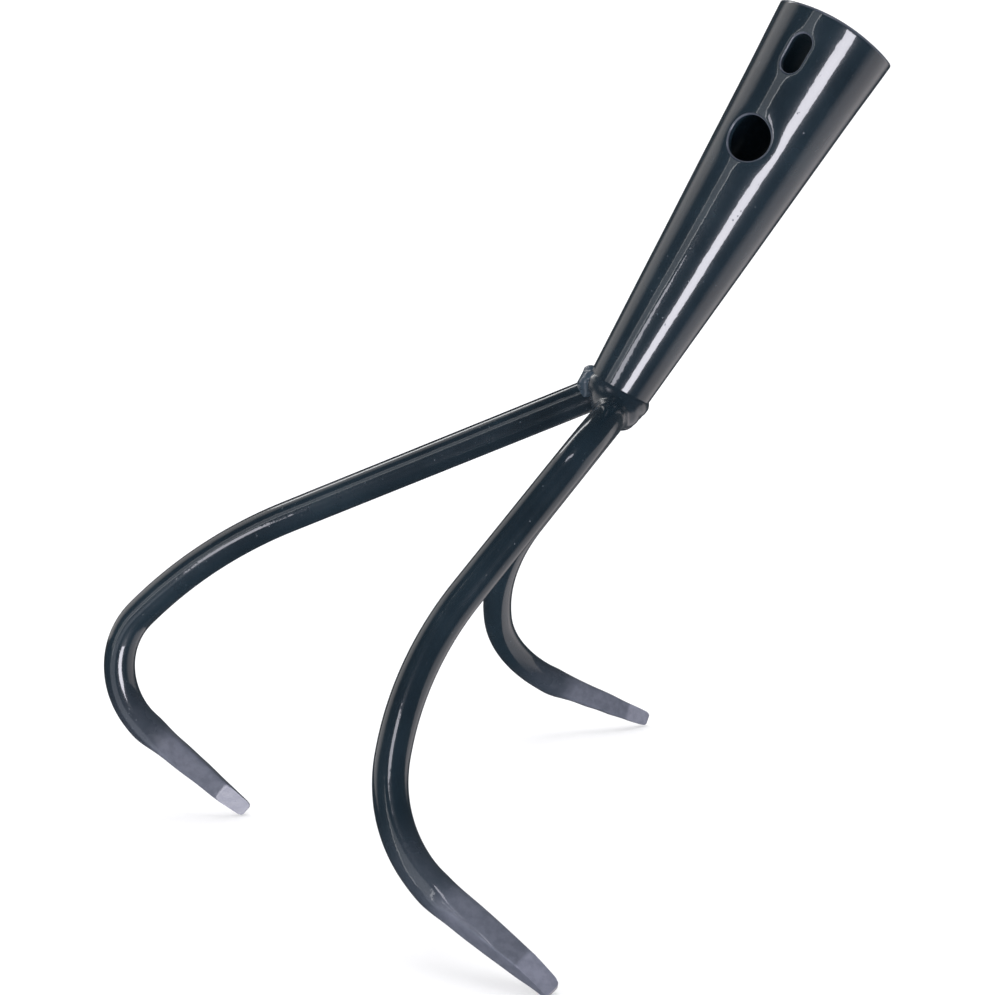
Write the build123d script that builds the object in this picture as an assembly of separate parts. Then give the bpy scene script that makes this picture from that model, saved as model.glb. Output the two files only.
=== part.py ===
from build123d import *
import os

# Three-tine cultivator head: a tapered tube that takes a wooden handle, and three bent
# round bars with forged points, welded under the tube's narrow end.
#
# It is designed about the tube: origin at the centre of the narrow end, +Z towards the
# mouth, +X the way the points face and the tool is pulled. At the end everything is turned
# and lifted together, so that the head stands on its three points with +Z up.

# Driving dimensions, millimetres and degrees.
SOCKET_LENGTH = 126.0
MOUTH_RADIUS = 18.5
NECK_RADIUS = 9.8
WALL = 2.0
RIM_ROUND = 0.6
NECK_LENGTH = 60.0          # the tube is split here, below its holes, into two plain nodes

HOLE_SIDE = -111.0          # direction of both fixing holes around the tube, from +X
HOLE_HEIGHT = 85.5
HOLE_RADIUS = 6.6
SLOT_HEIGHT = 112.5
SLOT_WIDTH = 6.4
SLOT_LENGTH = 12.0

BAR_RADIUS = 5.0
ROOT_DEPTH = 4.5            # how far the side bars' centre lines lie under the neck
FORGED_LENGTH = 38.0
FORGED_START = 8.8          # side of the square that a point's taper starts from
POINT_WIDTH = 5.0
POINT_THICKNESS = 4.4
POINT_CORNER = 0.8
BEVEL_LENGTH = 10.0
EDGE_THICKNESS = 1.8        # what the bevel leaves of the thickness at the very end

LEAN = 31.0                 # how far the tube leans forward when the three points are level

# Corners of the bars' centre lines and the bend radius at each inner corner. The side
# route is the one towards +Y; the other side bar is its mirror image.
CENTRE_ROUTE = [(-3.0, 0, 0.5), (-85.6, 0, -111.7), (-102.0, 0, -170.5), (-31.9, 0, -180.4)]
CENTRE_BENDS = [160.0, 26.0]
SIDE_ROUTE = [
    (2.5, 0, -ROOT_DEPTH),
    (2.5, 36.0, -ROOT_DEPTH),
    (-7.2, 66.7, -84.5),
    (11.6, 98.6, -121.8),
    (70.0, 123.3, -118.4),
]
SIDE_BENDS = [24.0, 84.0, 46.0]

# Weld beads, as ball centres and radii before the bars and the tube are cut out of them.
BACK_BEAD = ((-8.5, 0, -1.0), 6.2)
FRONT_BEAD = ((5.8, 0, 0.3), 5.7)
SIDE_BEAD = ((2.5, 8.5, -2.0), 6.8)


def tube_radius(height):
    """The tube's outer radius at a height above its narrow end."""
    return NECK_RADIUS + (MOUTH_RADIUS - NECK_RADIUS) * height / SOCKET_LENGTH


def tube_section(bottom, top):
    """The tapered tube's wall between two heights."""
    profile = Polyline(
        (tube_radius(bottom) - WALL, bottom),
        (tube_radius(bottom), bottom),
        (tube_radius(top), top),
        (tube_radius(top) - WALL, top),
        close=True,
    )
    return revolve(Plane.XZ * make_face(profile), Axis.Z)


def socket():
    """The tube from its mouth down past its round fixing hole and its slot."""
    tube = tube_section(NECK_LENGTH, SOCKET_LENGTH)
    rim = tube.edges().filter_by(GeomType.CIRCLE).group_by(Axis.Z)[-1]
    tube = fillet(rim, RIM_ROUND)
    hole = extrude(side_plane(HOLE_HEIGHT) * Circle(HOLE_RADIUS), 2 * MOUTH_RADIUS)
    slot_shape = SlotOverall(SLOT_LENGTH, SLOT_WIDTH, rotation=90)
    slot = extrude(side_plane(SLOT_HEIGHT) * slot_shape, 2 * MOUTH_RADIUS)
    return tube - hole - slot


def socket_neck():
    """The rest of the tube, down to the narrow end that the bars are welded under."""
    return tube_section(0, NECK_LENGTH)


def side_plane(height):
    """A plane on the tube's axis whose normal points out through the fixing holes' wall."""
    outward = Vector(1, 0, 0).rotate(Axis.Z, HOLE_SIDE)
    return Plane(origin=(0, 0, height), x_dir=Vector(0, 0, 1).cross(outward), z_dir=outward)


def tine(route, bends):
    """A round bar along straight runs and bends, forged to a tapered point at its far end."""
    path = FilletPolyline(*route, radius=bends)
    root = Plane(origin=path @ 0, z_dir=path % 0)
    bar = sweep(root * Circle(BAR_RADIUS), path=path)
    bar -= forging_waste(Vector(*route[-2]), Vector(*route[-1]))
    above_neck = Pos(0, 0, 2 * BAR_RADIUS) * Box(80, 80, 4 * BAR_RADIUS)
    return bar - above_neck


def forging_waste(corner, tip):
    """Everything around the bar's last stretch that is outside its tapered, bevelled point."""
    along = (tip - corner).normalized()
    side = along.cross(Vector(0, 0, 1)).normalized()
    start = Plane(origin=tip - along * FORGED_LENGTH, x_dir=side, z_dir=along)
    end = Plane(origin=tip, x_dir=side, z_dir=along)
    blank = extrude(start * Rectangle(4 * BAR_RADIUS, 4 * BAR_RADIUS), FORGED_LENGTH + BAR_RADIUS)
    first = start * RectangleRounded(FORGED_START, FORGED_START, POINT_CORNER)
    last = end * RectangleRounded(POINT_WIDTH, POINT_THICKNESS, POINT_CORNER)
    point = loft([first, last])
    return blank - (point - bevel_wedge(Plane(origin=tip, x_dir=along, z_dir=side)))


def bevel_wedge(profile_plane):
    """What is ground off the upper face at the end: local X along the point, local Y up."""
    shrink = (FORGED_START - POINT_THICKNESS) / 2 / FORGED_LENGTH
    upper = POINT_THICKNESS / 2 + shrink * BEVEL_LENGTH
    outline = Polyline(
        (-BEVEL_LENGTH, upper),
        (0, EDGE_THICKNESS - POINT_THICKNESS / 2),
        (BAR_RADIUS, EDGE_THICKNESS - POINT_THICKNESS / 2),
        (BAR_RADIUS, 2 * BAR_RADIUS),
        (-BEVEL_LENGTH, 2 * BAR_RADIUS),
        close=True,
    )
    return extrude(profile_plane * make_face(outline), 2 * BAR_RADIUS, both=True)


def bead(place, neighbours):
    """A weld bead: a ball with everything that it touches cut out of it."""
    centre, radius = place
    ball = Pos(*centre) * Rot(0, 90, 0) * Sphere(radius)
    filled_tube = Pos(0, 0, SOCKET_LENGTH / 2) * Cone(NECK_RADIUS, MOUTH_RADIUS, SOCKET_LENGTH)
    ball -= filled_tube
    for neighbour in neighbours:
        ball -= neighbour
    return ball.solids().sort_by(SortBy.VOLUME)[-1]


def mirrored(shape):
    """The same shape on the other side of the head's middle plane."""
    return mirror(shape, about=Plane.XZ)


def standing(pieces):
    """Turn the head until its three points are level, and put the box's base on the origin."""
    turned = {name: Rot(0, LEAN, 0) * shape for name, shape in pieces.items()}
    box = Compound([solid for shape in turned.values() for solid in shape.solids()]).bounding_box()
    lift = Pos(-box.center().X, -box.center().Y, -box.min.Z)
    return {name: lift * shape for name, shape in turned.items()}


def head():
    """All pieces of the head by name, standing on the three points."""
    left_tine = tine(SIDE_ROUTE, SIDE_BENDS)
    right_tine = mirrored(left_tine)
    centre_tine = tine(CENTRE_ROUTE, CENTRE_BENDS) - left_tine - right_tine
    tines = [centre_tine, left_tine, right_tine]
    back_weld = bead(BACK_BEAD, tines)
    front_weld = bead(FRONT_BEAD, tines)
    left_weld = bead(SIDE_BEAD, tines + [back_weld, front_weld])
    return standing({
        "socket": socket(),
        "socket_neck": socket_neck(),
        "centre_tine": centre_tine,
        "left_tine": left_tine,
        "right_tine": right_tine,
        "back_weld": back_weld,
        "front_weld": front_weld,
        "left_weld": left_weld,
        "right_weld": mirrored(left_weld),
    })


os.makedirs("parts", exist_ok=True)
for node, solid in head().items():
    export_step(solid, f"parts/{node}.step")
    box = solid.bounding_box()
    print(node, len(solid.solids()), "solid", round(solid.volume), "mm3", "lowest", round(box.min.Z, 2))
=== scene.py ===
import math
import random

import bmesh
import bpy
from mathutils import Matrix, Vector, noise


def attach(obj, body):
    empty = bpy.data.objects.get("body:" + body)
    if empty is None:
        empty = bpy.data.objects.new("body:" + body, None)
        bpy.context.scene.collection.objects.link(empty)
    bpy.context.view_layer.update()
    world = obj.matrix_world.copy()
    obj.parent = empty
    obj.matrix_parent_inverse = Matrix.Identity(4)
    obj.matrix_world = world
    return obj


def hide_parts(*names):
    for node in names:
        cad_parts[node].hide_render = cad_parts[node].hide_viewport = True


# The cultivator head as it stands on its three points. Shapes are designed about the handle
# tube in millimetres, as in the CAD model (origin at the narrow end, +Z to the mouth, +X the
# way the points face), then turned and lifted together into the row frame in metres.

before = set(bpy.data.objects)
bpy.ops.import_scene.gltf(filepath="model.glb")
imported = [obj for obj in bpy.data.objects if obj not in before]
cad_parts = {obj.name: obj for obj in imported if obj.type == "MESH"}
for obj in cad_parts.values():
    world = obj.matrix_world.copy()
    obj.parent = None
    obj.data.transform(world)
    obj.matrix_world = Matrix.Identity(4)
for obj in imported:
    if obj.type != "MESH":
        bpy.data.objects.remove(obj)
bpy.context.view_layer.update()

LEAN = math.radians(31.0)
LIFT = Vector((43.165, 0.0, 139.912))

SOCKET_LENGTH = 126.0
MOUTH_RADIUS = 18.5
NECK_RADIUS = 9.8
WALL = 2.0
HOLE_SIDE = math.radians(-111.0)
HOLE_HEIGHT = 85.5
HOLE_RADIUS = 6.6
SLOT_HEIGHT = 112.5
SLOT_WIDTH = 6.4
SLOT_LENGTH = 12.0

BAR_RADIUS = 5.0
FORGED_LENGTH = 38.0
BEVEL_LENGTH = 10.0
FORGED_HALF = 4.45              # half the square that a point's taper starts from
POINT_HALF_WIDE = 2.5
POINT_HALF_HIGH = 2.2
POINT_EDGE = -0.4               # where the bevel's face ends, measured from the point's middle
CENTRE_ROUTE = [(-3.0, 0, 0.5), (-85.6, 0, -111.7), (-102.0, 0, -170.5), (-31.9, 0, -180.4)]
CENTRE_BENDS = [160.0, 26.0]
SIDE_ROUTE = [(2.5, 0, -4.5), (2.5, 36.0, -4.5), (-7.2, 66.7, -84.5), (11.6, 98.6, -121.8),
              (70.0, 123.3, -118.4)]
SIDE_BENDS = [24.0, 84.0, 46.0]

TURN = Matrix.Rotation(LEAN, 3, "Y")


def placed(point):
    """A point of the tube's frame, in millimetres, as a point of the row frame, in metres."""
    return (TURN @ Vector(point) + LIFT) / 1000.0


def turned(direction):
    """A direction of the tube's frame in the row frame."""
    return TURN @ Vector(direction)


# ---------------------------------------------------------------- camera

camera_data = bpy.data.cameras.new("camera")
camera_data.sensor_width = 36.0
camera_data.lens = 70.24
camera_data.clip_start = 0.01
camera = bpy.data.objects.new("camera", camera_data)
bpy.context.scene.collection.objects.link(camera)
eye = Vector((0.10966, -0.58350, 0.20764))
ahead = Vector((-0.17134, 0.97096, -0.16694)).normalized()
right = Vector((0.98493, 0.17286, -0.00551)).normalized()
up = right.cross(ahead).normalized()
camera.matrix_world = Matrix((
    (right.x, up.x, -ahead.x, eye.x),
    (right.y, up.y, -ahead.y, eye.y),
    (right.z, up.z, -ahead.z, eye.z),
    (0, 0, 0, 1),
))
bpy.context.scene.camera = camera


# ---------------------------------------------------------------- node helpers

def new_material(name):
    """An empty node material, with its nodes and links to add to."""
    material = bpy.data.materials.new(name)
    material.use_nodes = True
    material.node_tree.nodes.clear()
    return material, material.node_tree.nodes, material.node_tree.links


def noise_node(nodes, links, coords, scale, detail=3.0, rough=0.5):
    node = nodes.new("ShaderNodeTexNoise")
    node.inputs["Scale"].default_value = scale
    node.inputs["Detail"].default_value = detail
    node.inputs["Roughness"].default_value = rough
    links.new(coords, node.inputs["Vector"])
    return node.outputs["Fac"]


def ramp(nodes, links, value, stops):
    node = nodes.new("ShaderNodeValToRGB")
    links.new(value, node.inputs["Fac"])
    elements = node.color_ramp.elements
    while len(elements) < len(stops):
        elements.new(0.5)
    for element, (place, colour) in zip(elements, stops):
        element.position = place
        element.color = (*colour, 1.0) if isinstance(colour, tuple) else (colour,) * 3 + (1.0,)
    return node.outputs["Color"]


def mixed(nodes, links, factor, first, second):
    node = nodes.new("ShaderNodeMix")
    node.data_type = "RGBA"
    for socket, value in ((node.inputs[0], factor), (node.inputs[6], first), (node.inputs[7], second)):
        if isinstance(value, (int, float)):
            socket.default_value = value
        elif isinstance(value, tuple):
            socket.default_value = (*value, 1.0)
        else:
            links.new(value, socket)
    return node.outputs[2]


def maths(nodes, links, operation, *values):
    node = nodes.new("ShaderNodeMath")
    node.operation = operation
    for socket, value in zip(node.inputs, values):
        if isinstance(value, (int, float)):
            socket.default_value = value
        else:
            links.new(value, socket)
    return node.outputs[0]


# Light bluish grey of rubbed steel. It is also used as painted reflection on the tines' points.
WORN_STEEL_AND_SHEEN = (0.165, 0.172, 0.215)


def lacquer(name, tone, peel=1.0, lumps=0.0, film=0.035):
    """Gloss paint over steel with slight orange peel, thin spots, dust nibs and rubbed edges.

    peel scales the waves in the paint, lumps adds rough metal under it, and film is how rough
    the clear coat is. Rubbed places have less clear coat. Their light bluish grey is partly rubbed
    steel and partly painted reflection, mostly on the tines' points.
    """
    material, nodes, links = new_material(name)
    coords = nodes.new("ShaderNodeTexCoord").outputs["Object"]
    wear_and_sheen = nodes.new("ShaderNodeAttribute")
    wear_and_sheen.attribute_name = "wear_and_sheen"
    wear_and_sheen = wear_and_sheen.outputs["Fac"]

    cloud = noise_node(nodes, links, coords, 34.0, 4.0, 0.6)
    fine = noise_node(nodes, links, coords, 420.0, 3.0, 0.6)
    dark = tuple(0.72 * c for c in tone)
    light = tuple(1.25 * c for c in tone)
    paint = ramp(nodes, links, cloud, [(0.32, dark), (0.5, tone), (0.7, light)])
    nibs = ramp(nodes, links, noise_node(nodes, links, coords, 900.0, 1.0, 0.4),
                [(0.76, 0.0), (0.80, 1.0)])
    paint = mixed(nodes, links, maths(nodes, links, "MULTIPLY", nibs, 0.25), paint, (0.09, 0.11, 0.13))
    patchiness = ramp(nodes, links, fine, [(0.38, 0.78), (0.62, 1.0)])
    rubbed_and_sheen = maths(nodes, links, "MULTIPLY", wear_and_sheen, patchiness)
    # Rubbed places turn light bluish grey: partly bare steel, partly painted reflection.
    colour = mixed(nodes, links, rubbed_and_sheen, paint, WORN_STEEL_AND_SHEEN)

    shader = nodes.new("ShaderNodeBsdfPrincipled")
    links.new(colour, shader.inputs["Base Color"])
    gloss = ramp(nodes, links, cloud, [(0.3, 0.20), (0.7, 0.30)])
    gloss = mixed(nodes, links, rubbed_and_sheen, gloss, (0.46, 0.46, 0.46))
    links.new(gloss, shader.inputs["Roughness"])
    shader.inputs["IOR"].default_value = 1.5
    links.new(maths(nodes, links, "SUBTRACT", 1.0, rubbed_and_sheen), shader.inputs["Coat Weight"])
    shader.inputs["Coat Roughness"].default_value = film
    shader.inputs["Specular IOR Level"].default_value = 0.25
    shader.inputs["Coat IOR"].default_value = 1.5

    height = maths(nodes, links, "MULTIPLY", noise_node(nodes, links, coords, 620.0, 2.0, 0.5), 0.55 * peel)
    waves = maths(nodes, links, "MULTIPLY", noise_node(nodes, links, coords, 150.0, 2.0, 0.5), 1.4 * peel)
    height = maths(nodes, links, "ADD", height, waves)
    height = maths(nodes, links, "ADD", height, maths(nodes, links, "MULTIPLY", nibs, 0.8))
    if lumps:
        rough_metal = noise_node(nodes, links, coords, 300.0, 3.0, 0.6)
        rough_metal = maths(nodes, links, "MULTIPLY", rough_metal, lumps)
        height = maths(nodes, links, "ADD", height, rough_metal)
    bump = nodes.new("ShaderNodeBump")
    bump.inputs["Strength"].default_value = 1.0
    bump.inputs["Distance"].default_value = 0.00003
    links.new(height, bump.inputs["Height"])
    links.new(bump.outputs["Normal"], shader.inputs["Normal"])
    links.new(bump.outputs["Normal"], shader.inputs["Coat Normal"])
    output = nodes.new("ShaderNodeOutputMaterial")
    links.new(shader.outputs["BSDF"], output.inputs["Surface"])
    return material


PAINT = (0.0066, 0.0132, 0.0190)
WELD_TONE = (0.0080, 0.0150, 0.0215)
# The lumpy bead's paint is lighter and bluer than the rest: painted sheen for the light its lumps catch.
BEAD_SHEEN_TONE = (0.030, 0.044, 0.060)
TUBE_PAINT = lacquer("tube_paint", PAINT)
BAR_PAINT = lacquer("bar_paint", PAINT, 1.1)
WELD_PAINT = lacquer("weld_paint", WELD_TONE, 1.1, film=0.24)
BEAD_SHEEN_PAINT = lacquer("bead_sheen_paint", BEAD_SHEEN_TONE, 1.1, lumps=0.8, film=0.18)


# ---------------------------------------------------------------- mesh helpers

def piece(name, material, vertices, faces, wear_and_sheen=None, sharp=38.0):
    """A smooth-shaded mesh object with its outward normals and its marks of wear and painted reflection."""
    mesh = bpy.data.meshes.new(name)
    mesh.from_pydata([tuple(v) for v in vertices], [], faces)
    if wear_and_sheen:
        attribute = mesh.attributes.new("wear_and_sheen", "FLOAT", "POINT")
        attribute.data.foreach_set("value", wear_and_sheen)
    mesh.polygons.foreach_set("use_smooth", [True] * len(mesh.polygons))
    work = bmesh.new()
    work.from_mesh(mesh)
    bmesh.ops.recalc_face_normals(work, faces=work.faces)
    work.to_mesh(mesh)
    work.free()
    mesh.set_sharp_from_angle(angle=math.radians(sharp))
    mesh.materials.append(material)
    thing = bpy.data.objects.new(name, mesh)
    bpy.context.scene.collection.objects.link(thing)
    return thing


def smooth(value, low, high):
    """0 below low, 1 above high, and an easy curve between."""
    t = min(max((value - low) / (high - low), 0.0), 1.0)
    return t * t * (3 - 2 * t)


# ---------------------------------------------------------------- tines

def centre_line(route, bends):
    """Points no more than 1.5 mm apart along straight runs and tangent arcs."""
    corners = [Vector(p) for p in route]
    points = [corners[0]]
    for before, corner, after, radius in zip(corners, corners[1:], corners[2:], bends):
        to_start = (before - corner).normalized()
        to_end = (after - corner).normalized()
        half = to_start.angle(to_end) / 2
        reach = radius / math.tan(half)
        middle = corner + (to_start + to_end).normalized() * radius / math.sin(half)
        first = corner + to_start * reach - middle
        last = corner + to_end * reach - middle
        sweep = first.angle(last)
        steps = max(6, math.ceil(sweep * radius / 1.5))
        for i in range(steps + 1):
            t = i / steps
            arc = first * math.sin((1 - t) * sweep) + last * math.sin(t * sweep)
            points.append(middle + arc / math.sin(sweep))
    points.append(corners[-1])
    line = [points[0]]
    for point in points[1:]:
        gap = (point - line[-1]).length
        if gap < 1e-4:
            continue
        steps = max(1, math.ceil(gap / 1.5))
        start = line[-1]
        line.extend(start.lerp(point, i / steps) for i in range(1, steps + 1))
    return line


def resampled(line, places):
    """The points at the given lengths along the line."""
    lengths = [0.0]
    for a, b in zip(line, line[1:]):
        lengths.append(lengths[-1] + (b - a).length)
    result = []
    i = 0
    for place in places:
        while i < len(line) - 2 and lengths[i + 1] < place:
            i += 1
        t = (place - lengths[i]) / (lengths[i + 1] - lengths[i])
        result.append(line[i].lerp(line[i + 1], t))
    return result


SQUARENESS = 14.0               # how sharp the forged section's corners are


def tine(name, route, bends, roll, seed):
    """A bent round bar, its last stretch hammered square and turned by roll, and ground to an edge."""
    dice = random.Random(seed)
    line = centre_line(route, bends)
    total = sum((b - a).length for a, b in zip(line, line[1:]))
    forged = total - FORGED_LENGTH
    bevel = total - BEVEL_LENGTH
    face_top = POINT_HALF_HIGH + 0.058 * BEVEL_LENGTH
    places = [i * 1.4 for i in range(int((forged - 8) / 1.4))]
    places += [forged - 8 + i * 0.7 for i in range(int((bevel - forged + 8) / 0.7))]
    places += [bevel, bevel + 0.25]
    places += [bevel + 0.7 + i * 0.6 for i in range(int((BEVEL_LENGTH - 1.4) / 0.6))]
    places += [total - 0.55, total - 0.3, total - 0.12, total - 0.03, total]
    places = sorted(set(round(p, 4) for p in places if p <= total))
    points = resampled(line, places)
    ways = [(b - a).normalized() for a, b in zip([points[0]] + points[:-1], points[1:] + [points[-1]])]
    ways[0] = (points[1] - points[0]).normalized()

    side = ways[-1].cross(Vector((0, 0, 1))).normalized()
    sides = [side]
    for way in reversed(ways[:-1]):
        side = (side - way * side.dot(way)).normalized()
        sides.append(side)
    sides.reverse()

    blows = [[(dice.uniform(0.15, 0.7), dice.uniform(0, 6.28), dice.uniform(0.02, 0.06)) for _ in range(3)]
             for _ in range(4)]

    def dent(face, place):
        return sum(size * math.sin(rate * place + start) for rate, start, size in blows[face])

    count = 72
    vertices, wear_and_sheen = [], []
    for place, point, way, side in zip(places, points, ways, sides):
        above = side.cross(way).normalized()
        side, above = (side * math.cos(roll) - above * math.sin(roll),
                       above * math.cos(roll) + side * math.sin(roll))
        t = (place - forged) / FORGED_LENGTH
        squared = smooth(place, forged - 5.0, forged + 6.0)
        swell = 0.30 * math.exp(-((place - forged + 3.0) / 4.5) ** 2)
        half_wide = FORGED_HALF + (POINT_HALF_WIDE - FORGED_HALF) * max(t, 0.0)
        half_high = FORGED_HALF + (POINT_HALF_HIGH - FORGED_HALF) * max(t, 0.0)
        end = total - place
        if end < 2.2:
            half_wide -= 0.95 * (1 - math.sqrt(max(1 - ((2.2 - end) / 2.2) ** 2, 0.0)))
        shrink = 1.0 if end > 0.55 else 0.78 + 0.22 * math.sqrt(max(1 - ((0.55 - end) / 0.55) ** 2, 0.0))
        crown = BAR_RADIUS + swell * 0.6
        for i in range(count):
            angle = 2 * math.pi * i / count
            c, s = math.cos(angle), math.sin(angle)
            wide = half_wide + squared * dent(0 if c > 0 else 1, place)
            high = half_high + squared * dent(2 if s > 0 else 3, place)
            square = 1.0 / ((abs(c) / wide) ** SQUARENESS + (abs(s) / high) ** SQUARENESS) ** (1 / SQUARENESS)
            soft = 1.0 / ((square ** -12) + (crown ** -12)) ** (1 / 12)
            radius = crown * (1 - squared) + min(soft * 1.02, crown) * squared
            u, v = radius * c * shrink, radius * s * shrink
            # The ground bevel face is marked light: partly bare ground steel, partly painted reflection.
            rub_and_sheen = 0.0
            if place > bevel - 0.01:
                limit = face_top + (POINT_EDGE - face_top) * (place - bevel) / BEVEL_LENGTH
                if v > limit - 0.25:
                    rub_and_sheen = 0.8
                v = min(v, limit)
            vertices.append(placed(point + side * u + above * v))
            # The forged stretch grows lighter towards the point: partly wear, partly painted reflection.
            tip_wear_and_sheen = 0.16 * smooth(place, forged - 30, forged) + 0.34 * smooth(place, forged - 3, forged + 6)
            wear_and_sheen.append(max(rub_and_sheen, tip_wear_and_sheen))
    rings = len(places)
    faces = []
    for r in range(rings - 1):
        for i in range(count):
            j = (i + 1) % count
            faces.append((r * count + i, r * count + j, (r + 1) * count + j, (r + 1) * count + i))
    for ring in (0, rings - 1):
        middle = sum((vertices[ring * count + i] for i in range(count)), Vector()) / count
        vertices.append(middle)
        wear_and_sheen.append(0.5 if ring else 0.0)
        hub = len(vertices) - 1
        faces.extend((ring * count + i, ring * count + (i + 1) % count, hub) for i in range(count))
    return piece(name, BAR_PAINT, vertices, faces, wear_and_sheen, 34.0)


def mirrored_route(route):
    return [(x, -y, z) for x, y, z in route]


for node, route, bends, roll, seed in (
    ("centre_tine", CENTRE_ROUTE, CENTRE_BENDS, 72.0, 11),
    ("left_tine", SIDE_ROUTE, SIDE_BENDS, 66.0, 23),
    ("right_tine", mirrored_route(SIDE_ROUTE), SIDE_BENDS, 40.0, 37),
):
    bar = tine(node + "_bar", route, bends, math.radians(roll), seed)
    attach(bar, "root")
    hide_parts(node)


# ---------------------------------------------------------------- socket

def tube_radius(height):
    return NECK_RADIUS + (MOUTH_RADIUS - NECK_RADIUS) * height / SOCKET_LENGTH


PATCH = math.radians(41.0)      # half the width, around the tube, of the fields about the holes
FIELDS = [(HOLE_HEIGHT, 74.5, 96.5), (SLOT_HEIGHT, 103.0, 122.0)]


def opening_edge(field, angle, height):
    """How far it is from a field's middle to its hole's edge, towards (angle, height), in mm."""
    middle = FIELDS[field][0]
    across = angle * tube_radius(middle)
    along = height - middle
    away = math.hypot(across, along)
    c, s = across / away, along / away
    if field == 0:
        return HOLE_RADIUS * (0.99 + 0.08 * c * c + 0.03 * max(s, 0.0) ** 6), away
    half = (SLOT_LENGTH - SLOT_WIDTH) / 2
    r = SLOT_WIDTH / 2
    if abs(c) > 1e-9 and abs(s / c) * r <= half:
        return r / abs(c), away
    b = half * abs(s)
    return b + math.sqrt(b * b - half * half + r * r), away


def dimple(angle, height):
    """How far punching the holes drew the wall in, in mm."""
    depth = 0.0
    for field, (middle, low, high) in enumerate(FIELDS):
        if low < height < high and abs(angle) < PATCH:
            if math.hypot(angle * tube_radius(middle), height - middle) < 1e-6:
                continue
            edge, away = opening_edge(field, angle, height)
            depth += (0.34, 0.26)[field] * math.exp(-((max(away - edge, 0.0)) / 1.7) ** 1.5)
    return depth


def mouth_sag(angle, height):
    """How much lower the mouth's edge is at the tube's sides than at the holes' side, in mm."""
    return 2.3 * math.cos(angle + HOLE_SIDE) ** 2 * smooth(height, 100.0, SOCKET_LENGTH)


def wall_point(angle, height, depth, inner):
    """A point of the tube's wall: angle from the holes' direction, height along, depth inwards."""
    radius = tube_radius(height) - (WALL if inner else 0.0)
    wobble = 0.05 * noise.noise(Vector((math.cos(angle) * 1.6, math.sin(angle) * 1.6, height / 26.0)))
    radius += wobble - dimple(angle, height) - depth
    heading = angle + HOLE_SIDE
    height -= mouth_sag(angle, height)
    return placed((radius * math.cos(heading), radius * math.sin(heading), height))


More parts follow.
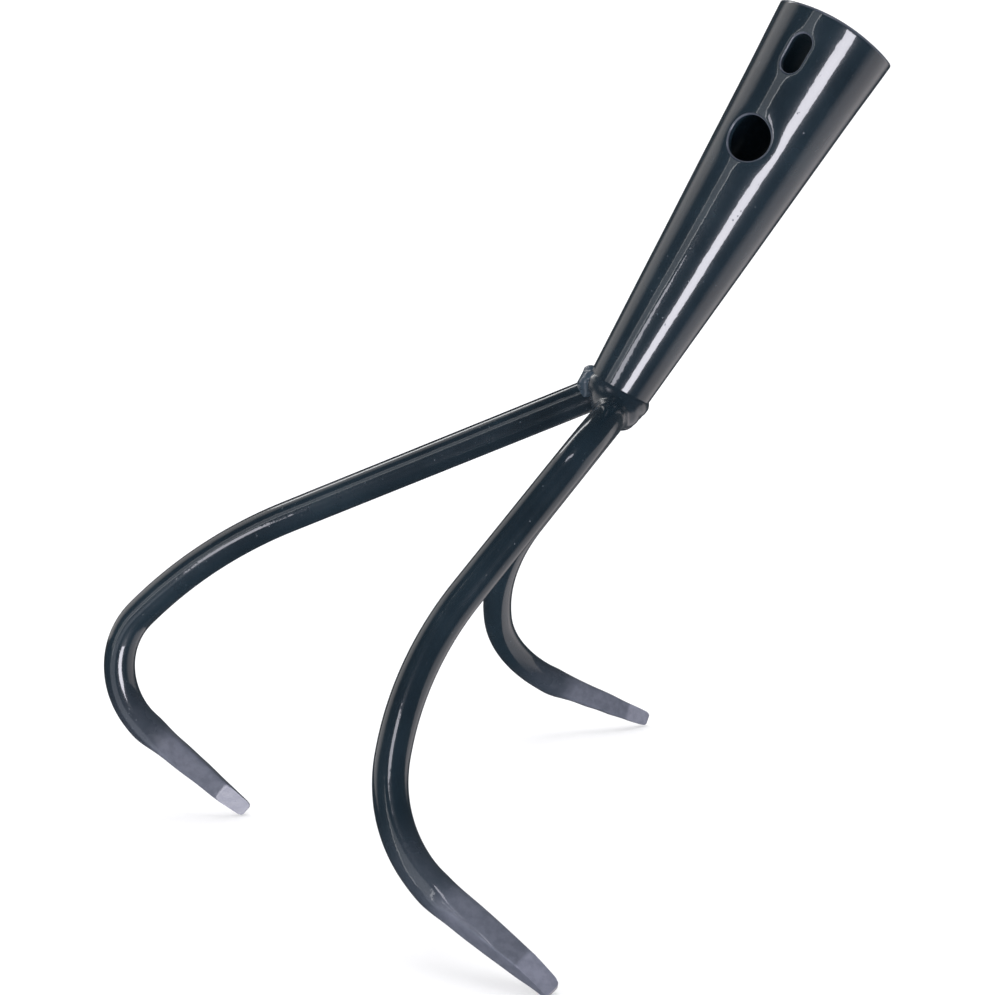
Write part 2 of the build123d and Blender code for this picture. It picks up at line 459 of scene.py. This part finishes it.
def socket():
    """The tube as one closed skin, with round-edged holes that the fields around them fit."""
    across = 20
    fine = [-PATCH + 2 * PATCH * i / across for i in range(across + 1)]
    rest = 60
    coarse = [PATCH + (2 * math.pi - 2 * PATCH) * i / rest for i in range(1, rest)]
    angles = fine + coarse
    columns = len(angles)
    heights = [1.0 + i * (FIELDS[0][1] - 1.0) / 34 for i in range(35)]
    for field, (middle, low, high) in enumerate(FIELDS):
        heights += [low + (high - low) * i / 18 for i in range(1, 19)]
        if field == 0:
            gap = FIELDS[1][1] - high
            heights += [high + gap * i / 5 for i in range(1, 6)]
    heights += [123.2, 124.4, 125.2]
    vertices, faces, wear_and_sheen = [], [], []

    def add(point, rub_and_sheen=0.0):
        vertices.append(point)
        wear_and_sheen.append(rub_and_sheen)
        return len(vertices) - 1

    grids = []
    for inner in (False, True):
        grid = {}
        for row, height in enumerate(heights):
            for column, angle in enumerate(angles):
                inside = any(low + 1e-6 < height < high - 1e-6 for _, low, high in FIELDS)
                if inside and 0 < column < across:
                    continue
                grid[row, column] = add(wall_point(angle, height, 0.0, inner))
        grids.append(grid)
        for row in range(len(heights) - 1):
            for column in range(columns):
                after = (column + 1) % columns
                corners = [(row, column), (row, after), (row + 1, after), (row + 1, column)]
                in_field = any(low - 1e-6 < heights[row] and heights[row + 1] < high + 1e-6
                               for _, low, high in FIELDS)
                if in_field and column < across:
                    continue
                faces.append([grid[c] for c in corners])

    for field, (middle, low, high) in enumerate(FIELDS):
        rows = [r for r, h in enumerate(heights) if low - 1e-6 < h < high + 1e-6]
        loop = [(rows[0], c) for c in range(across)]
        loop += [(r, across) for r in rows[:-1]]
        loop += [(rows[-1], c) for c in range(across, 0, -1)]
        loop += [(r, 0) for r in rows[:0:-1]]

        def ringed(share, offset, depth, inner, rub_and_sheen):
            result = []
            for row, column in loop:
                angle, height = angles[column], heights[row]
                edge, away = opening_edge(field, angle, height)
                if share is None:
                    reach = edge + offset
                else:
                    reach = edge + 0.7 + (away - edge - 0.7) * share
                factor = reach / away
                result.append(add(wall_point(angle * factor, middle + (height - middle) * factor,
                                             depth, inner), rub_and_sheen))
            return result

        rings = [[grids[0][c] for c in loop]]
        rings += [ringed(share, 0, 0.0, False, 0.0) for share in (0.8, 0.6, 0.42, 0.27, 0.15, 0.06)]
        for offset, depth, rub_and_sheen in ((0.55, 0.0, 0.0), (0.3, 0.06, 0.2), (0.12, 0.2, 0.45), (0.02, 0.42, 0.2),
                                   (0.0, 0.7, 0.0), (0.0, 1.4, 0.0), (0.1, 1.8, 0.0)):
            rings.append(ringed(None, offset, depth, False, rub_and_sheen))
        rings += [ringed(None, 0.4, 0.0, True, 0.0)]
        rings += [ringed(share, 0, 0.0, True, 0.0) for share in (0.15, 0.5)]
        rings.append([grids[1][c] for c in loop])
        for first, second in zip(rings, rings[1:]):
            for i in range(len(loop)):
                j = (i + 1) % len(loop)
                faces.append([first[i], first[j], second[j], second[i]])

    def edge_rings(profile, outer_row, inner_row):
        rings = [[grids[0][outer_row, c] for c in range(columns)]]
        for inset, height, rub_and_sheen in profile:
            ring = []
            for angle in angles:
                radius = tube_radius(height) - inset
                heading = angle + HOLE_SIDE
                level = height - mouth_sag(angle, height)
                ring.append(add(placed((radius * math.cos(heading), radius * math.sin(heading), level)), rub_and_sheen))
            rings.append(ring)
        rings.append([grids[1][inner_row, c] for c in range(columns)])
        for first, second in zip(rings, rings[1:]):
            for i in range(columns):
                j = (i + 1) % columns
                faces.append([first[i], first[j], second[j], second[i]])

    last = len(heights) - 1
    edge_rings([(0.04, 125.42, 0.2), (0.2, 125.74, 0.45), (0.5, 125.95, 0.4), (0.9, 126.0, 0.2),
                (1.3, 125.98, 0.2), (1.7, 125.85, 0.3), (1.93, 125.6, 0.1)], last, last)
    edge_rings([(0.02, 0.4, 0.0), (0.25, 0.05, 0.0), (1.0, 0.0, 0.0), (1.8, 0.1, 0.0)], 0, 0)
    return piece("socket_tube", TUBE_PAINT, vertices, faces, wear_and_sheen, 50.0)


tube = socket()
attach(tube, "root")
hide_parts("socket", "socket_neck")


# ---------------------------------------------------------------- welds

def weld(name, blobs, seed, roughness, voxel=0.00035):
    """Weld metal: overlapping drops run together into one skin, with ripples."""
    work = bmesh.new()
    for centre, radii in blobs:
        stretch = Matrix.Diagonal((*[r / 1000 for r in radii], 1))
        matrix = Matrix.Translation(placed(centre)) @ TURN.to_4x4() @ stretch
        bmesh.ops.create_icosphere(work, subdivisions=4, radius=1.0, matrix=matrix)
    mesh = bpy.data.meshes.new(name + "_drops")
    work.to_mesh(mesh)
    work.free()
    drops = bpy.data.objects.new(name + "_drops", mesh)
    bpy.context.scene.collection.objects.link(drops)
    remesh = drops.modifiers.new("skin", "REMESH")
    remesh.mode = "VOXEL"
    remesh.voxel_size = voxel
    relax = drops.modifiers.new("relax", "SMOOTH")
    lumpy = roughness > 0.2
    relax.iterations = 12 if lumpy else 60
    relax.factor = 0.6
    bpy.context.view_layer.update()
    skin = bpy.data.meshes.new_from_object(drops.evaluated_get(bpy.context.evaluated_depsgraph_get()))
    bpy.data.objects.remove(drops)
    offset = Vector((seed * 3.1, seed * 1.7, 0))
    moves = []
    for vertex in skin.vertices:
        p = vertex.co * 1000
        lump = noise.noise(p / 2.6 + offset) * 0.6 + noise.noise(p / 1.1 + offset) * 0.12
        moves.append(vertex.co + vertex.normal * lump * roughness / 1000)
    for vertex, place in zip(skin.vertices, moves):
        vertex.co = place
    skin.name = name
    skin.polygons.foreach_set("use_smooth", [True] * len(skin.polygons))
    skin.materials.clear()
    skin.materials.append(BEAD_SHEEN_PAINT if lumpy else WELD_PAINT)
    attribute = skin.attributes.new("wear_and_sheen", "FLOAT", "POINT")
    attribute.data.foreach_set("value", [0.0] * len(skin.vertices))
    thing = bpy.data.objects.new(name, skin)
    bpy.context.scene.collection.objects.link(thing)
    return thing


WELDS = {
    "back_weld": ([((-7.4, 0.0, -2.6), (4.4, 5.6, 4.6)), ((-8.6, -3.6, -0.4), (3.2, 3.2, 3.9)),
                   ((-8.9, 2.8, -0.2), (3.2, 3.3, 3.8)), ((-9.7, -0.6, 1.2), (2.5, 3.0, 3.2))], 2, 0.75),
    "front_weld": ([((6.2, 0.0, -1.2), (4.4, 8.6, 4.0)), ((4.6, 0.0, -4.6), (5.2, 9.0, 4.6))], 5, 0.02),
    "left_weld": ([((0.4, 2.0, 0.6), (10.7, 9.6, 5.6)), ((2.2, 6.0, -2.2), (8.2, 8.0, 5.8)),
                   ((2.5, 12.0, -4.4), (5.5, 8.4, 5.5))], 7, 0.02),
    "right_weld": ([((0.4, -2.0, 0.6), (10.7, 9.6, 5.6)), ((2.2, -6.0, -2.2), (8.2, 8.0, 5.8)),
                    ((2.5, -12.0, -4.4), (5.5, 8.4, 5.5))], 9, 0.02),
}
for node, (blobs, seed, roughness) in WELDS.items():
    bead = weld(node + "_bead", blobs, seed, roughness)
    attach(bead, "root")
    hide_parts(node)


# ---------------------------------------------------------------- floor and light

def studio():
    """A pale round floor that curves up into a wall. Reflections and shadows pass through it."""
    material, nodes, links = new_material("studio_white")
    coords = nodes.new("ShaderNodeTexCoord").outputs["Object"]
    mottle = noise_node(nodes, links, coords, 6.0, 4.0)
    shade = ramp(nodes, links, mottle, [(0.3, (0.49, 0.49, 0.50)), (0.7, (0.50, 0.50, 0.51))])
    shader = nodes.new("ShaderNodeBsdfPrincipled")
    links.new(shade, shader.inputs["Base Color"])
    shader.inputs["Roughness"].default_value = 0.9
    shader.inputs["Specular IOR Level"].default_value = 0.0
    away = nodes.new("ShaderNodeVectorMath")
    away.operation = "LENGTH"
    links.new(coords, away.inputs[0])
    distance = maths(nodes, links, "MULTIPLY", away.outputs["Value"], 0.25)
    glow = ramp(nodes, links, distance, [(0.10, (0.50, 0.50, 0.50)), (0.36, (0.70, 0.70, 0.70))])
    links.new(glow, shader.inputs["Emission Color"])
    shader.inputs["Emission Strength"].default_value = 1.0
    output = nodes.new("ShaderNodeOutputMaterial")
    links.new(shader.outputs["BSDF"], output.inputs["Surface"])

    around = 96
    flat, bend, top = 2.0, 1.6, 3.6
    profile = [(r, 0.0) for r in (0.5, 1.0, 1.5, 1.9)]
    profile += [(flat + bend * math.sin(a), bend * (1 - math.cos(a)))
                for a in [math.pi / 2 * i / 16 for i in range(17)]]
    profile.append((flat + bend, top))
    vertices = [Vector((r * math.cos(2 * math.pi * i / around), r * math.sin(2 * math.pi * i / around), z))
                for r, z in profile for i in range(around)]
    faces = [(k * around + i, k * around + (i + 1) % around, (k + 1) * around + (i + 1) % around,
              (k + 1) * around + i) for k in range(len(profile) - 1) for i in range(around)]
    faces.append(tuple(range(around)))
    stage = piece("studio", material, vertices, faces)
    stage.visible_glossy = False
    stage.visible_shadow = False


studio()


def light(name, place, target, size, power, along=None, colour=(1, 1, 1)):
    """A rectangular soft light at a place, facing a target, with its long side along a direction."""
    data = bpy.data.lights.new(name, "AREA")
    data.shape = "RECTANGLE"
    data.size, data.size_y = size
    data.energy = power
    data.color = colour
    lamp = bpy.data.objects.new(name, data)
    bpy.context.scene.collection.objects.link(lamp)
    back = (Vector(place) - Vector(target)).normalized()
    long_side = Vector(along) if along else Vector((0, 0, 1))
    long_side = (long_side - back * long_side.dot(back)).normalized()
    short_side = long_side.cross(back)
    lamp.matrix_world = Matrix((
        (short_side.x, long_side.x, back.x, place[0]),
        (short_side.y, long_side.y, back.y, place[1]),
        (short_side.z, long_side.z, back.z, place[2]),
        (0, 0, 0, 1),
    ))
    return lamp


def mirror_place(angle, height, away):
    """Where a light has to be so that the tube shows it at this angle around and height along."""
    heading = math.radians(angle)
    slope = math.atan2(MOUTH_RADIUS - NECK_RADIUS, SOCKET_LENGTH)
    radius = tube_radius(height)
    point = placed((radius * math.cos(heading), radius * math.sin(heading), height))
    flat = math.cos(slope)
    normal = turned((math.cos(heading) * flat, math.sin(heading) * flat, -math.sin(slope)))
    look = (eye - point).normalized()
    way = (2 * normal.dot(look) * normal - look).normalized()
    return point + way * away, point


def card(name, angle, height, away, size, glow, colour=(1, 1, 1)):
    """A light whose mirror image the tube shows at an angle around it, with its radiance in glow."""
    place, aim = mirror_place(angle, height, away)
    light(name, place, aim, size, glow * math.pi * size[0] * size[1], turned((0, 0, 1)), colour)


CARD_AWAY = 1.2                 # metres from the piece that shows the card
KEY_COLOUR = (0.94, 0.92, 1.0)


def bar_card(name, route, bends, place, across, size, glow):
    """A light whose mirror image a bar shows at a place along it, turned by across from its middle."""
    first, last = resampled(centre_line(route, bends), [place - 1.0, place + 1.0])
    point = placed(first.lerp(last, 0.5))
    way = turned(last - first).normalized()
    look = (eye - point).normalized()
    normal = Matrix.Rotation(math.radians(across), 3, way) @ (look - way * look.dot(way)).normalized()
    out = (2 * normal.dot(look) * normal - look).normalized()
    power = glow * math.pi * size[0] * size[1]
    light(name, point + out * CARD_AWAY, point, size, power, way, KEY_COLOUR)


# Places are millimetres along the bars from their roots.
bar_card("centre_bend", CENTRE_ROUTE, CENTRE_BENDS, 130.0, 6.0, (0.36, 0.14), 7.0)
bar_card("near_bend", mirrored_route(SIDE_ROUTE), SIDE_BENDS, 144.0, 6.0, (0.36, 0.14), 7.0)
card("key_strip", -76.5, 64.0, CARD_AWAY, (0.44, 0.66), 14.0, KEY_COLOUR)
card("second_band", -111.0, 64.0, CARD_AWAY, (0.34, 1.2), 0.8, (0.92, 0.95, 1.0))
card("second_edge_a", -107.5, 64.0, 1.19, (0.035, 1.2), 4.0)
card("second_edge_b", -115.5, 64.0, 1.19, (0.035, 1.2), 3.0)
# Each side is four cards in steps of width, so that its edge fades.
for step in range(4):
    away = 1.30 - 0.01 * step
    card(f"right_side_{step}", -34.0, 64.0, away, (2.1 - 0.3 * step, 1.8), 0.21, (1.0, 0.92, 0.92))
    card(f"left_side_{step}", -143.0, 64.0, away, (1.2 - 0.18 * step, 1.4), 0.2, (1.0, 0.95, 0.93))
light("low_front", (-0.55, -0.65, -0.55), (-0.05, 0.0, 0.05), (1.1, 0.7), 2.2, (1, -0.6, 0),
      (0.86, 0.90, 1.0))
light("rim", (-0.9, 1.0, 1.5), (0, 0, 0.1), (0.3, 0.9), 4.0, (1, 0, 0))
top = light("top", (-0.1, 0.3, 1.9), (0, 0, 0.1), (1.6, 1.6), 24.0, (1, 0, 0))
top.visible_glossy = False

world = bpy.data.worlds.new("world")
world.use_nodes = True
world.node_tree.nodes["Background"].inputs["Color"].default_value = (0.70, 0.80, 0.92, 1)
world.node_tree.nodes["Background"].inputs["Strength"].default_value = 0.06
bpy.context.scene.world = world
bpy.context.scene.view_settings.view_transform = "Standard"
